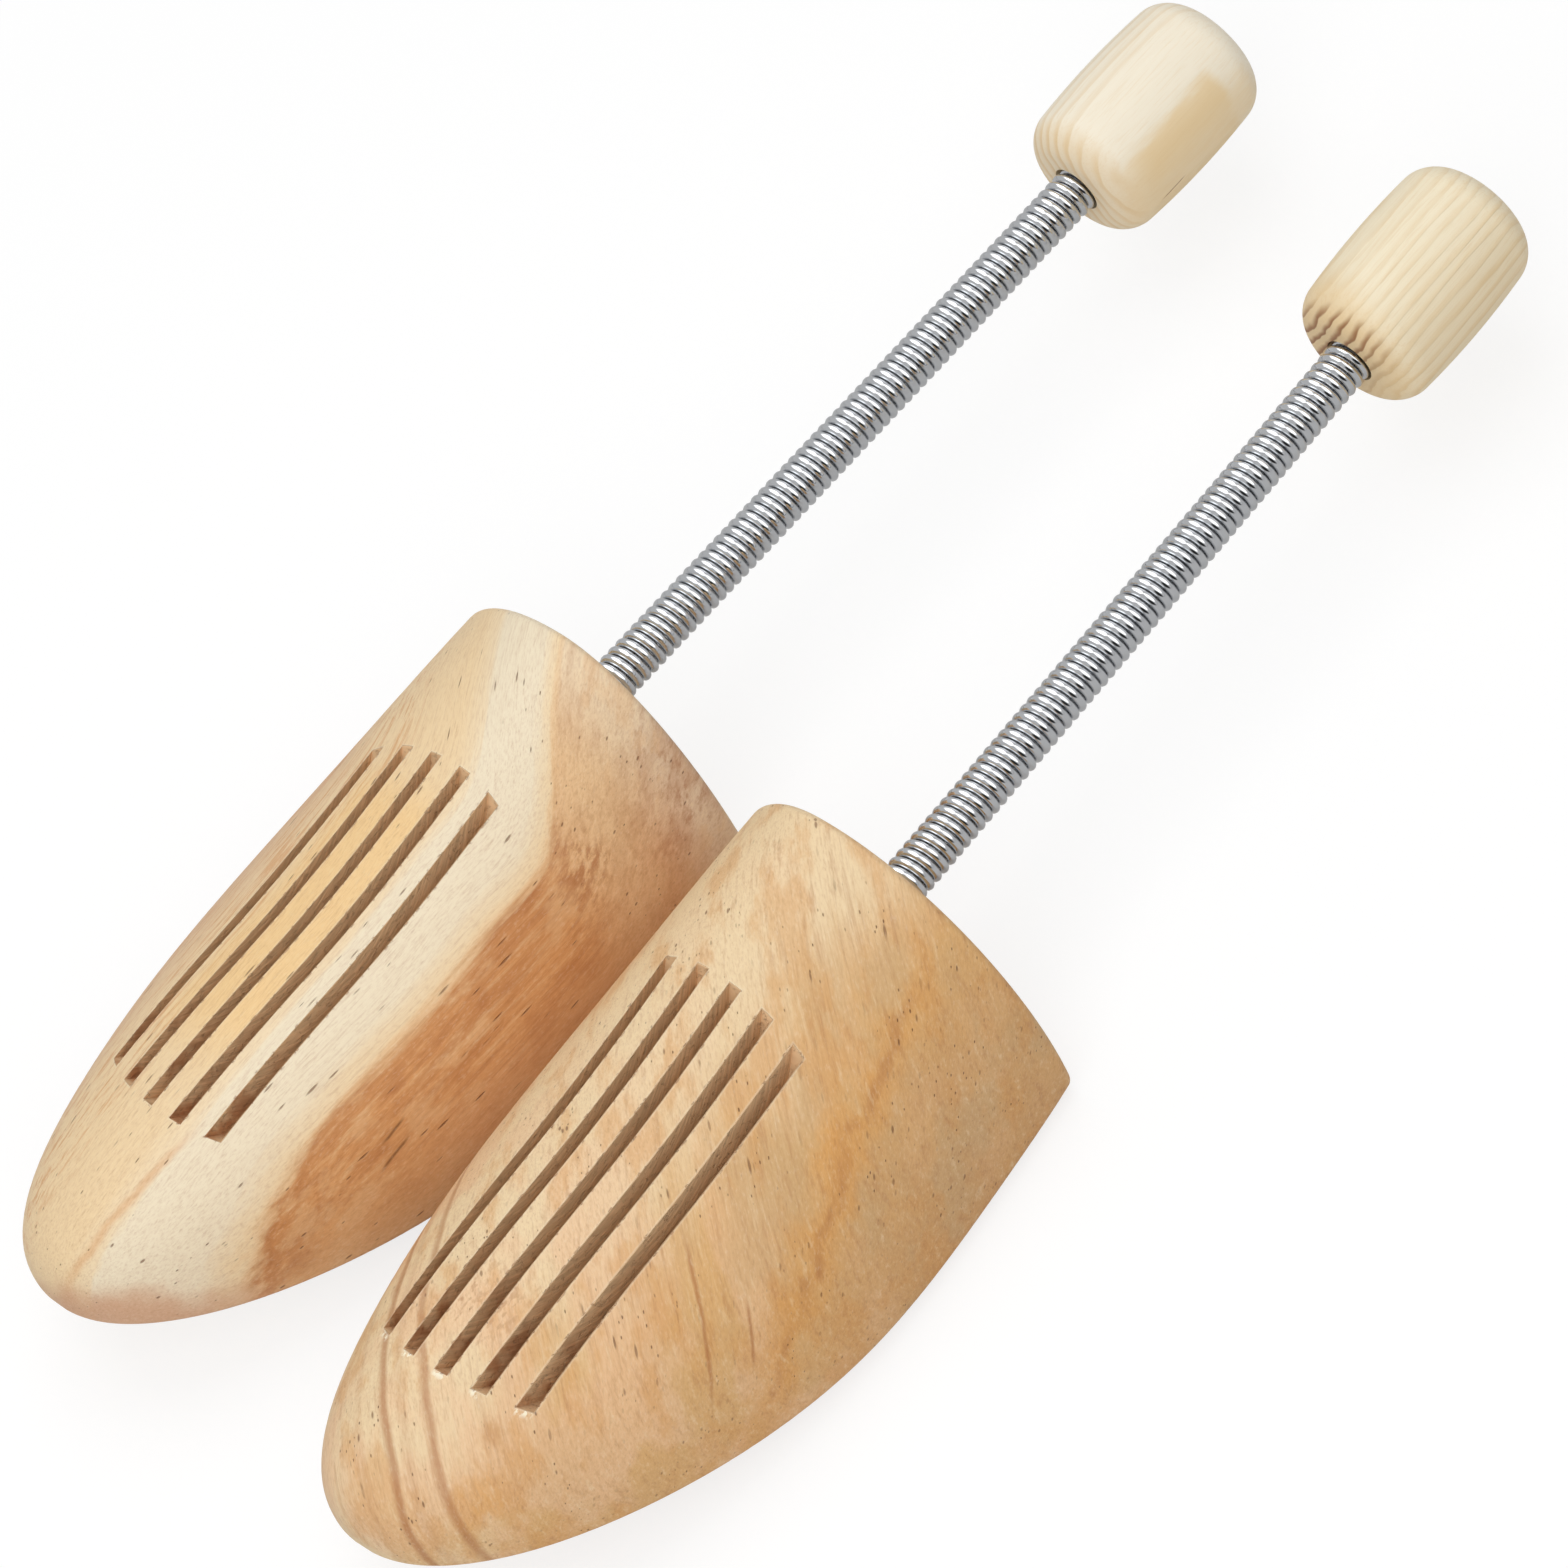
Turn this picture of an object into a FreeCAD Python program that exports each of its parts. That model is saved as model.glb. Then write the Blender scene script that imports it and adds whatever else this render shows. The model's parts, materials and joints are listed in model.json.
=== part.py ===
import FreeCAD, Part
import math
import os

# A pair of wooden shoe trees: each a slotted toe block, a coil spring and a turned heel knob.
# Lengths are millimetres. Toes point along -Y, heels along +Y, and the soles lie on z = 0.
# Left and right are the wearer's, so the left tree lies on the +X side.

# Toe block
block_length = 136.0
block_width = 75.0
block_height = 54.0
toe_lift = 22.0
sole_trim = 0.5
rim_radius = 1.5
widest_share = 0.547
heel_taper_share = 0.122
toe_height_share = 0.511
instep_share = 0.477
lift_end_share = 0.74
ridge_offset_share = 0.168
corner_height_share = 0.09
corner_width_share = 0.22
nose_offset_share = 0.038
station_shares = (0.0006, 0.004, 0.014, 0.04, 0.09, 0.17, 0.28, 0.42, 0.58, 0.76, 0.9, 1.0)
plan_powers = (1.4, 2.31)
top_powers = (2.21, 2.46)

# Ventilation slots, sawn by a gang of round blades that plunges into the top
slot_count = 5
slot_pitch = 7.1
slot_width = 2.4
left_slot_depth = 22.8
left_slot_middle = 66.1
right_slot_depth = 19.7
right_slot_middle = 70.3
saw_radius = 45.0
slot_lean_deg = 1.5
slot_slope_deg = 5.9

# Coil spring
spring_diameter = 8.5
wire_diameter = 1.8
wire_sides = 6
spring_free_length = 127.6
spring_height = 28.0
spring_offset = 1.2
spring_turns = 30
tail_lead = 4.0
tail_turn_share = 0.12

# Bores that hold the spring's two ends
toe_bore_depth = 16.0
heel_bore_depth = 14.0
bore_clearance = 0.4
heel_floor_gap = 0.3

# Heel knob
knob_length = 37.0
knob_diameter = 27.0
knob_face_diameter = 14.0
knob_edge_radius = 6.0
knob_bulge = 0.5

# Core pegs inside the spring's ends, and the nails that pin them from below
peg_clearance = 0.5
peg_recess = 1.5
nail_diameter = 1.2
nail_sink = 1.0
nail_reach = 1.4
nail_clearance = 0.05

# How the two trees lie beside each other
tree_gap = 6.3
toe_stagger = 4.9
toe_in_deg = 1.27

overrun = 5.0

V = FreeCAD.Vector
X_AXIS = V(1, 0, 0)
Y_AXIS = V(0, 1, 0)
Z_AXIS = V(0, 0, 1)

coil_radius = (spring_diameter - wire_diameter) / 2
bore_radius = spring_diameter / 2 + bore_clearance
peg_radius = coil_radius - wire_diameter / 2 - peg_clearance
knob_start = block_length + spring_free_length
tree_length = knob_start + knob_length
spring_start = block_length - toe_bore_depth
spring_end = knob_start + heel_bore_depth - heel_floor_gap
tail_length = wire_diameter + tail_lead
coil_start = spring_start + tail_length
coil_end = spring_end - tail_length
coil_pitch = (coil_end - coil_start) / spring_turns
toe_spacing = block_width + tree_gap
saw_settings = {1: (left_slot_middle, left_slot_depth), -1: (right_slot_middle, right_slot_depth)}


def rounded(share, powers):
    """Rise of a blunt curve from 0 at the toe to 1 where the share reaches 1."""
    rest = 1 - min(share, 1)
    return (1 - rest ** powers[0]) ** (1 / powers[1])


def half_width(share):
    """Half of the block's width at a share of its length, counted from the toe."""
    past = max(share - widest_share, 0) / (1 - widest_share)
    return block_width / 2 * (rounded(share / widest_share, plan_powers) - heel_taper_share * past ** 2)


def sole_height(share):
    """Height of the sole, which curves up towards the toe."""
    return toe_lift * max(1 - share / lift_end_share, 0) ** 2


def top_height(share):
    """Height of the ridge, which climbs from the toe to the back."""
    instep = block_height * (toe_height_share + (1 - toe_height_share) * share)
    return sole_height(share) + instep * rounded(share / instep_share, top_powers)


def quarter_ellipse(centre, across, up, quarter):
    """One quarter of an upright ellipse, counted from +X towards +Z."""
    long_axis = X_AXIS * across
    short_axis = Z_AXIS * up
    if up > across:
        long_axis = Z_AXIS * up
        short_axis = X_AXIS * -across
        quarter = quarter - 1
    ellipse = Part.Ellipse(centre + long_axis, centre + short_axis, centre)
    start = quarter * math.pi / 2
    return Part.Edge(ellipse, start, start + math.pi / 2)


def block_section(share):
    """Closed outline across the block: two dome quarters, two sole corners and the flat sole."""
    y = share * block_length
    half = half_width(share)
    middle = -nose_offset_share * block_width / 2 * (1 - share) ** 2
    ridge = middle - ridge_offset_share * half
    sole = sole_height(share)
    top = top_height(share)
    bottom = sole - sole_trim * share
    corner_up = corner_height_share * (top - bottom)
    corner_across = corner_width_share * half
    waist = bottom + corner_up
    inner_corner = middle - half + corner_across
    outer_corner = middle + half - corner_across
    ridge_foot = V(ridge, y, waist)
    return Part.Wire([
        quarter_ellipse(ridge_foot, middle + half - ridge, top - waist, 0),
        quarter_ellipse(ridge_foot, ridge - middle + half, top - waist, 1),
        quarter_ellipse(V(inner_corner, y, waist), corner_across, corner_up, 2),
        Part.makeLine(V(inner_corner, y, bottom), V(outer_corner, y, bottom)),
        quarter_ellipse(V(outer_corner, y, waist), corner_across, corner_up, 3),
    ])


def block_form():
    """The left block before it is sawn and bored: lofted, trimmed flat below, eased at the back rim."""
    form = Part.makeLoft([block_section(share) for share in station_shares], True, False)
    corner = V(-block_width / 2 - overrun, -overrun, -overrun)
    below = Part.makeBox(block_width + 2 * overrun, block_length + 2 * overrun, overrun, corner)
    form = form.cut(below)
    back = max(form.Faces, key=lambda face: face.CenterOfMass.y)
    return form.makeFillet(rim_radius, back.Edges)


def saw_gang(side):
    """The blades at the bottom of their plunge, leaning with the top's slope; each block has its own setting."""
    slot_middle, slot_depth = saw_settings[side]
    ridge = V(0, slot_middle, top_height(slot_middle / block_length))
    hub = ridge + Z_AXIS * (saw_radius - slot_depth)
    blades = []
    for index in range(slot_count):
        place = (index - (slot_count - 1) / 2) * slot_pitch - slot_width / 2
        blades.append(Part.makeCylinder(saw_radius, slot_width, hub + X_AXIS * place, X_AXIS))
    gang = Part.makeCompound(blades)
    gang.rotate(ridge, X_AXIS, slot_slope_deg)
    gang.rotate(ridge, Y_AXIS, slot_lean_deg)
    return gang


def on_axis(side, y):
    """A point on the spring's axis; side is 1 for the left tree and -1 for the right."""
    return V(-side * spring_offset, y, spring_height)


def nail_rod(side, y, foot, extra):
    """A round rod that stands on the foot height and ends just past the spring's axis."""
    base = on_axis(side, y)
    base.z = foot
    height = spring_height + nail_reach + extra - foot
    return Part.makeCylinder(nail_diameter / 2 + extra, height, base, Z_AXIS)


def make_toe_block(side):
    """The slotted block, with the spring's bore in its back and the nail's hole in its sole."""
    block = block_form().cut(saw_gang(side))
    if side < 0:
        block = block.mirror(V(), X_AXIS)
    bore = Part.makeCylinder(bore_radius, toe_bore_depth + overrun, on_axis(side, spring_start), Y_AXIS)
    nail_hole = nail_rod(side, coil_start, -overrun, nail_clearance)
    return block.cut(bore).cut(nail_hole)


def knob_profile():
    """Half of the knob's lengthwise outline: flat ends, round edges and a barrel arc tangent to both."""
    half = knob_length / 2
    face = knob_face_diameter / 2
    rise = knob_diameter / 2 - face
    edge_radius = min(knob_edge_radius, rise - knob_bulge)
    inset = half - edge_radius
    barrel_radius = (inset ** 2 + rise ** 2 - edge_radius ** 2) / (2 * (rise - edge_radius))
    middle = V(0, knob_start + half, spring_height)
    crown = middle + Z_AXIS * (knob_diameter / 2)
    barrel_centre = crown - Z_AXIS * barrel_radius
    ends = []
    for way in (-1, 1):
        centre = middle + Y_AXIS * (way * half)
        rim = centre + Z_AXIS * face
        edge_centre = rim - Y_AXIS * (way * edge_radius)
        outward = (edge_centre - barrel_centre).normalize()
        join = edge_centre + outward * edge_radius
        halfway = (outward + Y_AXIS * way).normalize()
        bend = Part.Arc(rim, edge_centre + halfway * edge_radius, join).toShape()
        ends.append((centre, rim, bend, join))
    near, far = ends
    return Part.Wire([
        Part.makeLine(near[0], near[1]),
        near[2],
        Part.Arc(near[3], crown, far[3]).toShape(),
        far[2],
        Part.makeLine(far[1], far[0]),
        Part.makeLine(far[0], near[0]),
    ])


def heel_nail_foot():
    """Height of the nail's foot, sunk into the underside of the knob."""
    return spring_height - knob_diameter / 2 + nail_sink


def make_heel_knob(side):
    """The turned knob, with the spring's bore in its near end and the nail's hole below."""
    knob = Part.Face(knob_profile()).revolve(on_axis(0, 0), Y_AXIS, 360)
    knob.translate(on_axis(side, 0) - on_axis(0, 0))
    bore_start = on_axis(side, knob_start - overrun)
    bore = Part.makeCylinder(bore_radius, heel_bore_depth + overrun, bore_start, Y_AXIS)
    nail_hole = nail_rod(side, coil_end, heel_nail_foot() - overrun, nail_clearance)
    return knob.cut(bore).cut(nail_hole)


def make_toe_peg(side):
    peg = Part.makeCylinder(peg_radius, toe_bore_depth - peg_recess, on_axis(side, spring_start), Y_AXIS)
    return peg.cut(nail_rod(side, coil_start, 0, nail_clearance))


def make_heel_peg(side):
    start = on_axis(side, knob_start + peg_recess)
    peg = Part.makeCylinder(peg_radius, heel_bore_depth - peg_recess, start, Y_AXIS)
    return peg.cut(nail_rod(side, coil_end, 0, nail_clearance))


def make_toe_nail(side):
    return nail_rod(side, coil_start, nail_sink, 0)


def make_heel_nail(side):
    return nail_rod(side, coil_end, heel_nail_foot(), 0)


def coil_point(side, turn):
    """Centre of the wire after some turns of the right-handed coil; turn 0 is at the top."""
    angle = 2 * math.pi * turn
    around = X_AXIS * math.sin(angle) + Z_AXIS * math.cos(angle)
    return on_axis(side, coil_start + coil_pitch * turn) + around * coil_radius


def coil_heading(turn):
    """Direction of the wire at that turn."""
    angle = 2 * math.pi * turn
    along = X_AXIS * math.cos(angle) - Z_AXIS * math.sin(angle)
    heading = along * (2 * math.pi * coil_radius) + Y_AXIS * coil_pitch
    return heading.normalize()


def tail_point(side, turn, y):
    """A point on a straight tail: as far out as the coil, beyond its end."""
    point = coil_point(side, turn)
    point.y = y
    return point


def arc(start, heading, end):
    """The arc that leaves a point along a heading and ends at another point."""
    chord = end - start
    normal = (chord - heading * chord.dot(heading)).normalize()
    radius = chord.dot(chord) / (2 * chord.dot(normal))
    centre = start + normal * radius
    outward = ((start + end) * 0.5 - centre).normalize()
    return Part.Arc(start, centre + outward * radius, end).toShape()


def biarc(start, heading, end, end_heading):
    """Two arcs that join two points and keep the heading at both."""
    chord = end - start
    both = heading + end_heading
    square = both.dot(both) - 4
    middle = -2 * chord.dot(both)
    root = math.sqrt(middle ** 2 - 4 * square * chord.dot(chord))
    reach = (-middle - root) / (2 * square)
    leave = start + heading * reach
    arrive = end - end_heading * reach
    meet = (leave + arrive) * 0.5
    return [arc(start, heading, meet), arc(meet, (arrive - leave).normalize(), end)]


def wire_path(side):
    """The wire from end to end: a straight tail, a bend, half-turn biarcs, a bend and a tail."""
    first = tail_point(side, -tail_turn_share, spring_start)
    first_bend = first + Y_AXIS * wire_diameter
    last = tail_point(side, spring_turns + tail_turn_share, spring_end)
    last_bend = last - Y_AXIS * wire_diameter
    edges = [Part.makeLine(first, first_bend)]
    edges += biarc(first_bend, Y_AXIS, coil_point(side, 0), coil_heading(0))
    for half in range(2 * spring_turns):
        turn = half / 2
        after = (half + 1) / 2
        edges += biarc(coil_point(side, turn), coil_heading(turn), coil_point(side, after), coil_heading(after))
    edges += biarc(coil_point(side, spring_turns), coil_heading(spring_turns), last_bend, Y_AXIS)
    edges.append(Part.makeLine(last_bend, last))
    return edges


def least_gap(edges):
    """Smallest clear space between two passes of the wire, measured on points along it."""
    points = []
    for edge in edges:
        points += edge.discretize(5)[:-1]
    apart = 12
    nearest = min(
        (points[later] - points[index]).Length
        for index in range(len(points))
        for later in range(index + apart, min(index + 4 * apart, len(points))))
    return nearest - wire_diameter


def make_spring(side):
    """The coil spring: one unbroken wire, six-sided to keep its faces few."""
    edges = wire_path(side)
    start = edges[0].Vertexes[0].Point
    corners = []
    for index in range(wire_sides + 1):
        angle = 2 * math.pi * index / wire_sides
        corners.append(start + (X_AXIS * math.cos(angle) + Z_AXIS * math.sin(angle)) * (wire_diameter / 2))
    shell = Part.BRepOffsetAPI.MakePipeShell(Part.Wire(edges))
    shell.add(Part.makePolygon(corners))
    shell.build()
    shell.makeSolid()
    print("spring: %d turns, least gap to itself %.2f mm" % (spring_turns, least_gap(edges)))
    return shell.shape()


def place(shape, side):
    """Move a piece from its tree's own frame to where the tree lies in the pair."""
    pair_length = tree_length * math.cos(math.radians(toe_in_deg)) + toe_stagger
    toe_y = -pair_length / 2
    if side < 0:
        toe_y += toe_stagger
    shape.rotate(V(), Z_AXIS, side * toe_in_deg)
    shape.translate(V(side * toe_spacing / 2, toe_y, 0))
    return shape


PIECES = {
    "toe_block": make_toe_block,
    "toe_peg": make_toe_peg,
    "toe_nail": make_toe_nail,
    "spring": make_spring,
    "heel_knob": make_heel_knob,
    "heel_peg": make_heel_peg,
    "heel_nail": make_heel_nail,
}

os.makedirs("parts", exist_ok=True)
for tree, side in (("left", 1), ("right", -1)):
    for piece, make in PIECES.items():
        place(make(side), side).exportStep("parts/%s_%s.step" % (tree, piece))
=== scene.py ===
"""Looks of a pair of wooden spring shoe trees, as an add-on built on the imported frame."""

import json
import math

import bmesh
import bpy
from bpy.props import FloatProperty, FloatVectorProperty, IntProperty, PointerProperty
from mathutils import Matrix, Vector


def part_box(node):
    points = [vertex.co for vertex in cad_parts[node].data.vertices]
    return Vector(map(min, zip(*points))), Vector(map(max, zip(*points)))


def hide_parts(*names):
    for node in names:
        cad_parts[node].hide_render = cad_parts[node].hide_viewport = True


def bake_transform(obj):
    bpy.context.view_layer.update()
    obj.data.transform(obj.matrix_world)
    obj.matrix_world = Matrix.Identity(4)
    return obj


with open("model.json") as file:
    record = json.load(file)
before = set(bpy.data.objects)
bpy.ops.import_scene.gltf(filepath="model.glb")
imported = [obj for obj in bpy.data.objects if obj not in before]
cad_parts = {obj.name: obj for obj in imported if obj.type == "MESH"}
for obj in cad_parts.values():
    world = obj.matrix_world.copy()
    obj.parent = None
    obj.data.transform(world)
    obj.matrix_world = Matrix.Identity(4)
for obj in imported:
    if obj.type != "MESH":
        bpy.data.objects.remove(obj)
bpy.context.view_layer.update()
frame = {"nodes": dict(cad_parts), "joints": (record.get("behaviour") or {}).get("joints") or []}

bl_info = {
    "name": "Spring Shoe Trees",
    "version": (1, 0, 0),
    "blender": (4, 5, 0),
    "location": "View3D > Sidebar > Shoe Trees",
    "description": "Finishes the wood of a pair of shoe trees and winds their springs",
    "category": "Object",
}

MM = 0.001
JOINTS = {joint["name"]: joint for joint in frame["joints"]}
TREES = ("left", "right")


# Colours and places

def tint(red, green, blue):
    """A display colour, 0 to 255, as the linear values that sockets take."""
    shares = [value / 255 for value in (red, green, blue)]
    return [s / 12.92 if s <= 0.04045 else ((s + 0.055) / 1.055) ** 2.4 for s in shares]


def shade(base, share):
    """A colour scaled towards black."""
    return [value * share for value in base]


def between(first, second, share):
    """A colour part of the way from one to another."""
    return [a + (b - a) * share for a, b in zip(first, second)]


def colour(red, green, blue, name, description):
    """A colour property with a display colour as its default."""
    return FloatVectorProperty(
        name=name, description=description, default=tint(red, green, blue),
        subtype="COLOR", size=3, min=0, max=1)


def length(millimetres, name, description):
    """A length property in scene units."""
    return FloatProperty(
        name=name, description=description, default=millimetres * MM, unit="LENGTH", precision=5)


def angle(degrees, name, description):
    """An angle property."""
    return FloatProperty(
        name=name, description=description, default=math.radians(degrees), subtype="ANGLE")


def number(value, name, description):
    """A plain factor."""
    return FloatProperty(name=name, description=description, default=value)


class TreeFrame:
    """Where one tree lies: its toe on the floor under the spring's axis, and which way it runs."""

    def __init__(self, tree):
        swing = JOINTS[tree + "_knob_swing"]
        across = Vector(swing["axis"])
        middle = Vector(swing["pos_m"])
        toe_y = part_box(tree + "_toe_block")[0].y
        self.yaw = math.atan2(across.y, across.x)
        self.ahead = Vector((-across.y, across.x, 0))
        self.toe = middle + self.ahead * ((toe_y - middle.y) / self.ahead.y)
        self.axis_height = middle.z
        self.toe.z = 0
        self.side = 1 if tree == "left" else -1

    def along(self, node, near):
        """Distance from the toe to the near or the far end of a node."""
        low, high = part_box(node)
        return ((low if near else high).y - self.toe.y) / self.ahead.y

    def on_axis(self, distance):
        """The point on the spring's axis that far from the toe."""
        return self.toe + self.ahead * distance + Vector((0, 0, self.axis_height))

    def matrix(self, distance):
        """The tree's own axes at a point on the spring's axis."""
        return Matrix.Translation(self.on_axis(distance)) @ Matrix.Rotation(self.yaw, 4, "Z")


# Materials

class Finish:
    """A material or a world being made, with short ways to add nodes to it."""

    def __init__(self, made):
        made.use_nodes = True
        self.made = made
        self.tree = made.node_tree
        self.tree.nodes.clear()

    def add(self, kind, inputs, **settings):
        """Adds a node; an input that is a socket is linked, any other is set."""
        node = self.tree.nodes.new(kind)
        for name, value in settings.items():
            setattr(node, name, value)
        for name, value in inputs.items():
            if isinstance(value, bpy.types.NodeSocket):
                self.tree.links.new(value, node.inputs[name])
            else:
                node.inputs[name].default_value = value
        return node

    def calc(self, operation, *values):
        """One step of arithmetic."""
        inputs = dict(enumerate(values))
        return self.add("ShaderNodeMath", inputs, operation=operation).outputs[0]

    def vector(self, operation, *values):
        """One step of vector arithmetic that gives a vector."""
        inputs = dict(enumerate(values))
        return self.add("ShaderNodeVectorMath", inputs, operation=operation).outputs[0]

    def measure(self, operation, *values):
        """One step of vector arithmetic that gives a number."""
        inputs = dict(enumerate(values))
        return self.add("ShaderNodeVectorMath", inputs, operation=operation).outputs["Value"]

    def times(self, first, *others):
        """A product."""
        for other in others:
            first = self.calc("MULTIPLY", first, other)
        return first

    def plus(self, first, *others):
        """A sum."""
        for other in others:
            first = self.calc("ADD", first, other)
        return first

    def rest(self, value):
        """What is left of 1."""
        return self.calc("SUBTRACT", 1.0, value)

    def ease(self, value, start, end):
        """0 before the start and 1 after the end, with a soft step between."""
        inputs = {"Value": value, "From Min": start, "From Max": end}
        return self.add("ShaderNodeMapRange", inputs, interpolation_type="SMOOTHSTEP").outputs[0]

    def mix(self, share, first, second):
        """Two colours mixed by a share."""
        node = self.add("ShaderNodeMix", {0: share}, data_type="RGBA")
        for socket, value in ((node.inputs[6], first), (node.inputs[7], second)):
            if isinstance(value, bpy.types.NodeSocket):
                self.tree.links.new(value, socket)
            else:
                socket.default_value = (*value, 1)
        return node.outputs[2]

    def lay(self, base, stain, *shares):
        """A colour laid over a base by the product of some shares."""
        return self.mix(self.times(*shares), base, stain)

    def split(self, vector):
        """The three parts of a vector."""
        return self.add("ShaderNodeSeparateXYZ", {0: vector}).outputs[:3]

    def join(self, x, y, z):
        """A vector from its three parts."""
        return self.add("ShaderNodeCombineXYZ", {0: x, 1: y, 2: z}).outputs[0]

    def stretch(self, vector, x, y, z):
        """A vector counted in steps of x, y and z."""
        return self.vector("DIVIDE", vector, (x, y, z))

    def noise(self, vector, detail=2.0, roughness=0.5):
        """Cloudy noise from 0 to 1 with features about one unit apart."""
        inputs = {"Vector": vector, "Scale": 1.0, "Detail": detail, "Roughness": roughness}
        return self.add("ShaderNodeTexNoise", inputs).outputs[0]

    def clouds(self, vector, steps, shift, detail=3.0, roughness=0.5):
        """Noise counted in steps and shifted, so that no two clouds lie alike."""
        shifted = self.vector("ADD", self.stretch(vector, *steps), shift)
        return self.noise(shifted, detail, roughness)

    def sway(self, vector, reach, detail=2.0):
        """Noise centred on 0 that reaches about this far each way."""
        return self.calc("MULTIPLY_ADD", self.noise(vector, detail), 4 * reach, -2 * reach)

    def bands(self, value, stops):
        """Colours that follow a value through stops of (value, colour)."""
        low, high = stops[0][0], stops[-1][0]
        inputs = {"Value": value, "From Min": low, "From Max": high}
        share = self.add("ShaderNodeMapRange", inputs).outputs[0]
        ramp = self.add("ShaderNodeValToRGB", {0: share})
        elements = ramp.color_ramp.elements
        while len(elements) < len(stops):
            elements.new(1.0)
        for element, (place, stain) in zip(elements, stops):
            element.position = (place - low) / (high - low)
            element.color = (*stain, 1)
        return ramp.outputs[0]

    def tree_space(self, place, distance, height):
        """Millimetres across, along and up a tree, from a point over its axis line."""
        inputs = {
            "Vector": self.add("ShaderNodeTexCoord", {}).outputs["Object"],
            "Location": place.toe + place.ahead * distance + Vector((0, 0, height)),
            "Rotation": (0, 0, place.yaw),
            "Scale": (MM, MM, MM),
        }
        return self.add("ShaderNodeMapping", inputs, vector_type="TEXTURE").outputs[0]

    def turned(self, vector, ring, grain):
        """A vector measured across the growth rings, along the grain and across both."""
        ring = Vector(ring).normalized()
        grain = Vector(grain)
        grain = (grain - ring * grain.dot(ring)).normalized()
        turn = Matrix((ring, grain, ring.cross(grain))).to_euler()
        inputs = {"Vector": vector, "Rotation": turn}
        return self.add("ShaderNodeMapping", inputs, vector_type="POINT").outputs[0]

    def pores(self, grain, width, reach, share, least=0.10, spread=0.08):
        """Short dark vessel lines: long thin cells, of which only a share hold one."""
        inputs = {"Vector": self.stretch(grain, width, reach, width), "Scale": 1.0}
        cells = self.add("ShaderNodeTexVoronoi", inputs).outputs
        pick, size, _ = self.split(cells["Color"])
        radius = self.calc("MULTIPLY_ADD", size, spread, least)
        inside = self.rest(self.ease(cells["Distance"], self.times(radius, 0.4), radius))
        return self.times(inside, self.calc("LESS_THAN", pick, share))

    def stroke(self, vector, start, end, facing, width, wander=0.0):
        """A soft line through the wood between two points, as seen along a facing direction."""
        along = Vector(end) - Vector(start)
        reach = along.length
        aside = along.cross(Vector(facing)).normalized()
        offset = self.vector("SUBTRACT", vector, Vector(start))
        bend = self.sway(self.stretch(vector, 5, 5, 5), width / 3)
        if wander:
            bend = self.plus(bend, self.sway(self.stretch(vector, 16, 16, 16), wander))
        away = self.plus(self.measure("DOT_PRODUCT", offset, aside), bend)
        away = self.calc("ABSOLUTE", away)
        travel = self.measure("DOT_PRODUCT", offset, along / reach)
        travel = self.calc("DIVIDE", travel, reach)
        ends = self.times(self.ease(travel, -0.1, 0.25), self.rest(self.ease(travel, 0.75, 1.1)))
        return self.times(self.rest(self.ease(away, 0.0, width)), ends)

    def spot(self, vector, middle, radius):
        """A soft round spot."""
        ragged = self.sway(self.stretch(vector, 3, 3, 3), radius / 3)
        away = self.plus(self.measure("DISTANCE", vector, middle), ragged)
        return self.rest(self.ease(away, 0.2 * radius, radius))

    def light_path(self):
        """Whether a ray comes from the camera or through glass, and whether from a mirror."""
        path = self.add("ShaderNodeLightPath", {}).outputs
        seen = self.calc("MAXIMUM", path["Is Camera Ray"], path["Is Transmission Ray"])
        return seen, path["Is Glossy Ray"]

    def wood(self, base, height, roughness, depth):
        """Closes a wood material: its shader, its relief of a depth in mm, and its output."""
        inputs = {"Height": height, "Distance": depth * MM, "Strength": 1.0}
        bump = self.add("ShaderNodeBump", inputs)
        shader = self.add("ShaderNodeBsdfPrincipled", {
            "Base Color": base, "Roughness": roughness, "Normal": bump.outputs[0],
            "Specular IOR Level": 0.35})
        return self.close(shader)

    def close(self, shader):
        """Sends a shader to the output and returns the material."""
        self.add("ShaderNodeOutputMaterial", {"Surface": shader.outputs[0]})
        return self.made


def new_finish(name):
    """An empty material to be finished."""
    return Finish(bpy.data.materials.new(name))


def dress(node, material):
    """Gives a frame node one material and leaves its shape alone."""
    for slot in frame["nodes"][node].material_slots:
        slot.material = material


# Toe blocks

class SlotSizes(bpy.types.PropertyGroup):
    """The sawn slots, as far as their finish needs them."""

    pitch: length(7.1, "Pitch", "Distance between neighbouring slots")
    width: length(2.4, "Width", "Width of a slot")
    saw_radius: length(45, "Saw Radius", "Radius of the round blade that cut the slots")
    left_depth: length(22.8, "Left Depth", "Depth of the plunge at its middle, left block")
    left_middle: length(66.1, "Left Middle", "From the toe to the middle of the left slots")
    left_top: length(43.02, "Left Top", "Height of the left block at the middle of its slots")
    right_depth: length(19.7, "Right Depth", "Depth of the plunge at its middle, right block")
    right_middle: length(70.3, "Right Middle", "From the toe to the middle of the right slots")
    right_top: length(43.24, "Right Top", "Height of the right block at the middle of its slots")
    offset: length(1.2, "Offset", "Distance from the spring's axis to the middle slot")
    slope: angle(5.9, "Slope", "How far the blades tip along the block")
    lean: angle(1.5, "Lean", "How far the blades tip across the block")


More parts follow.
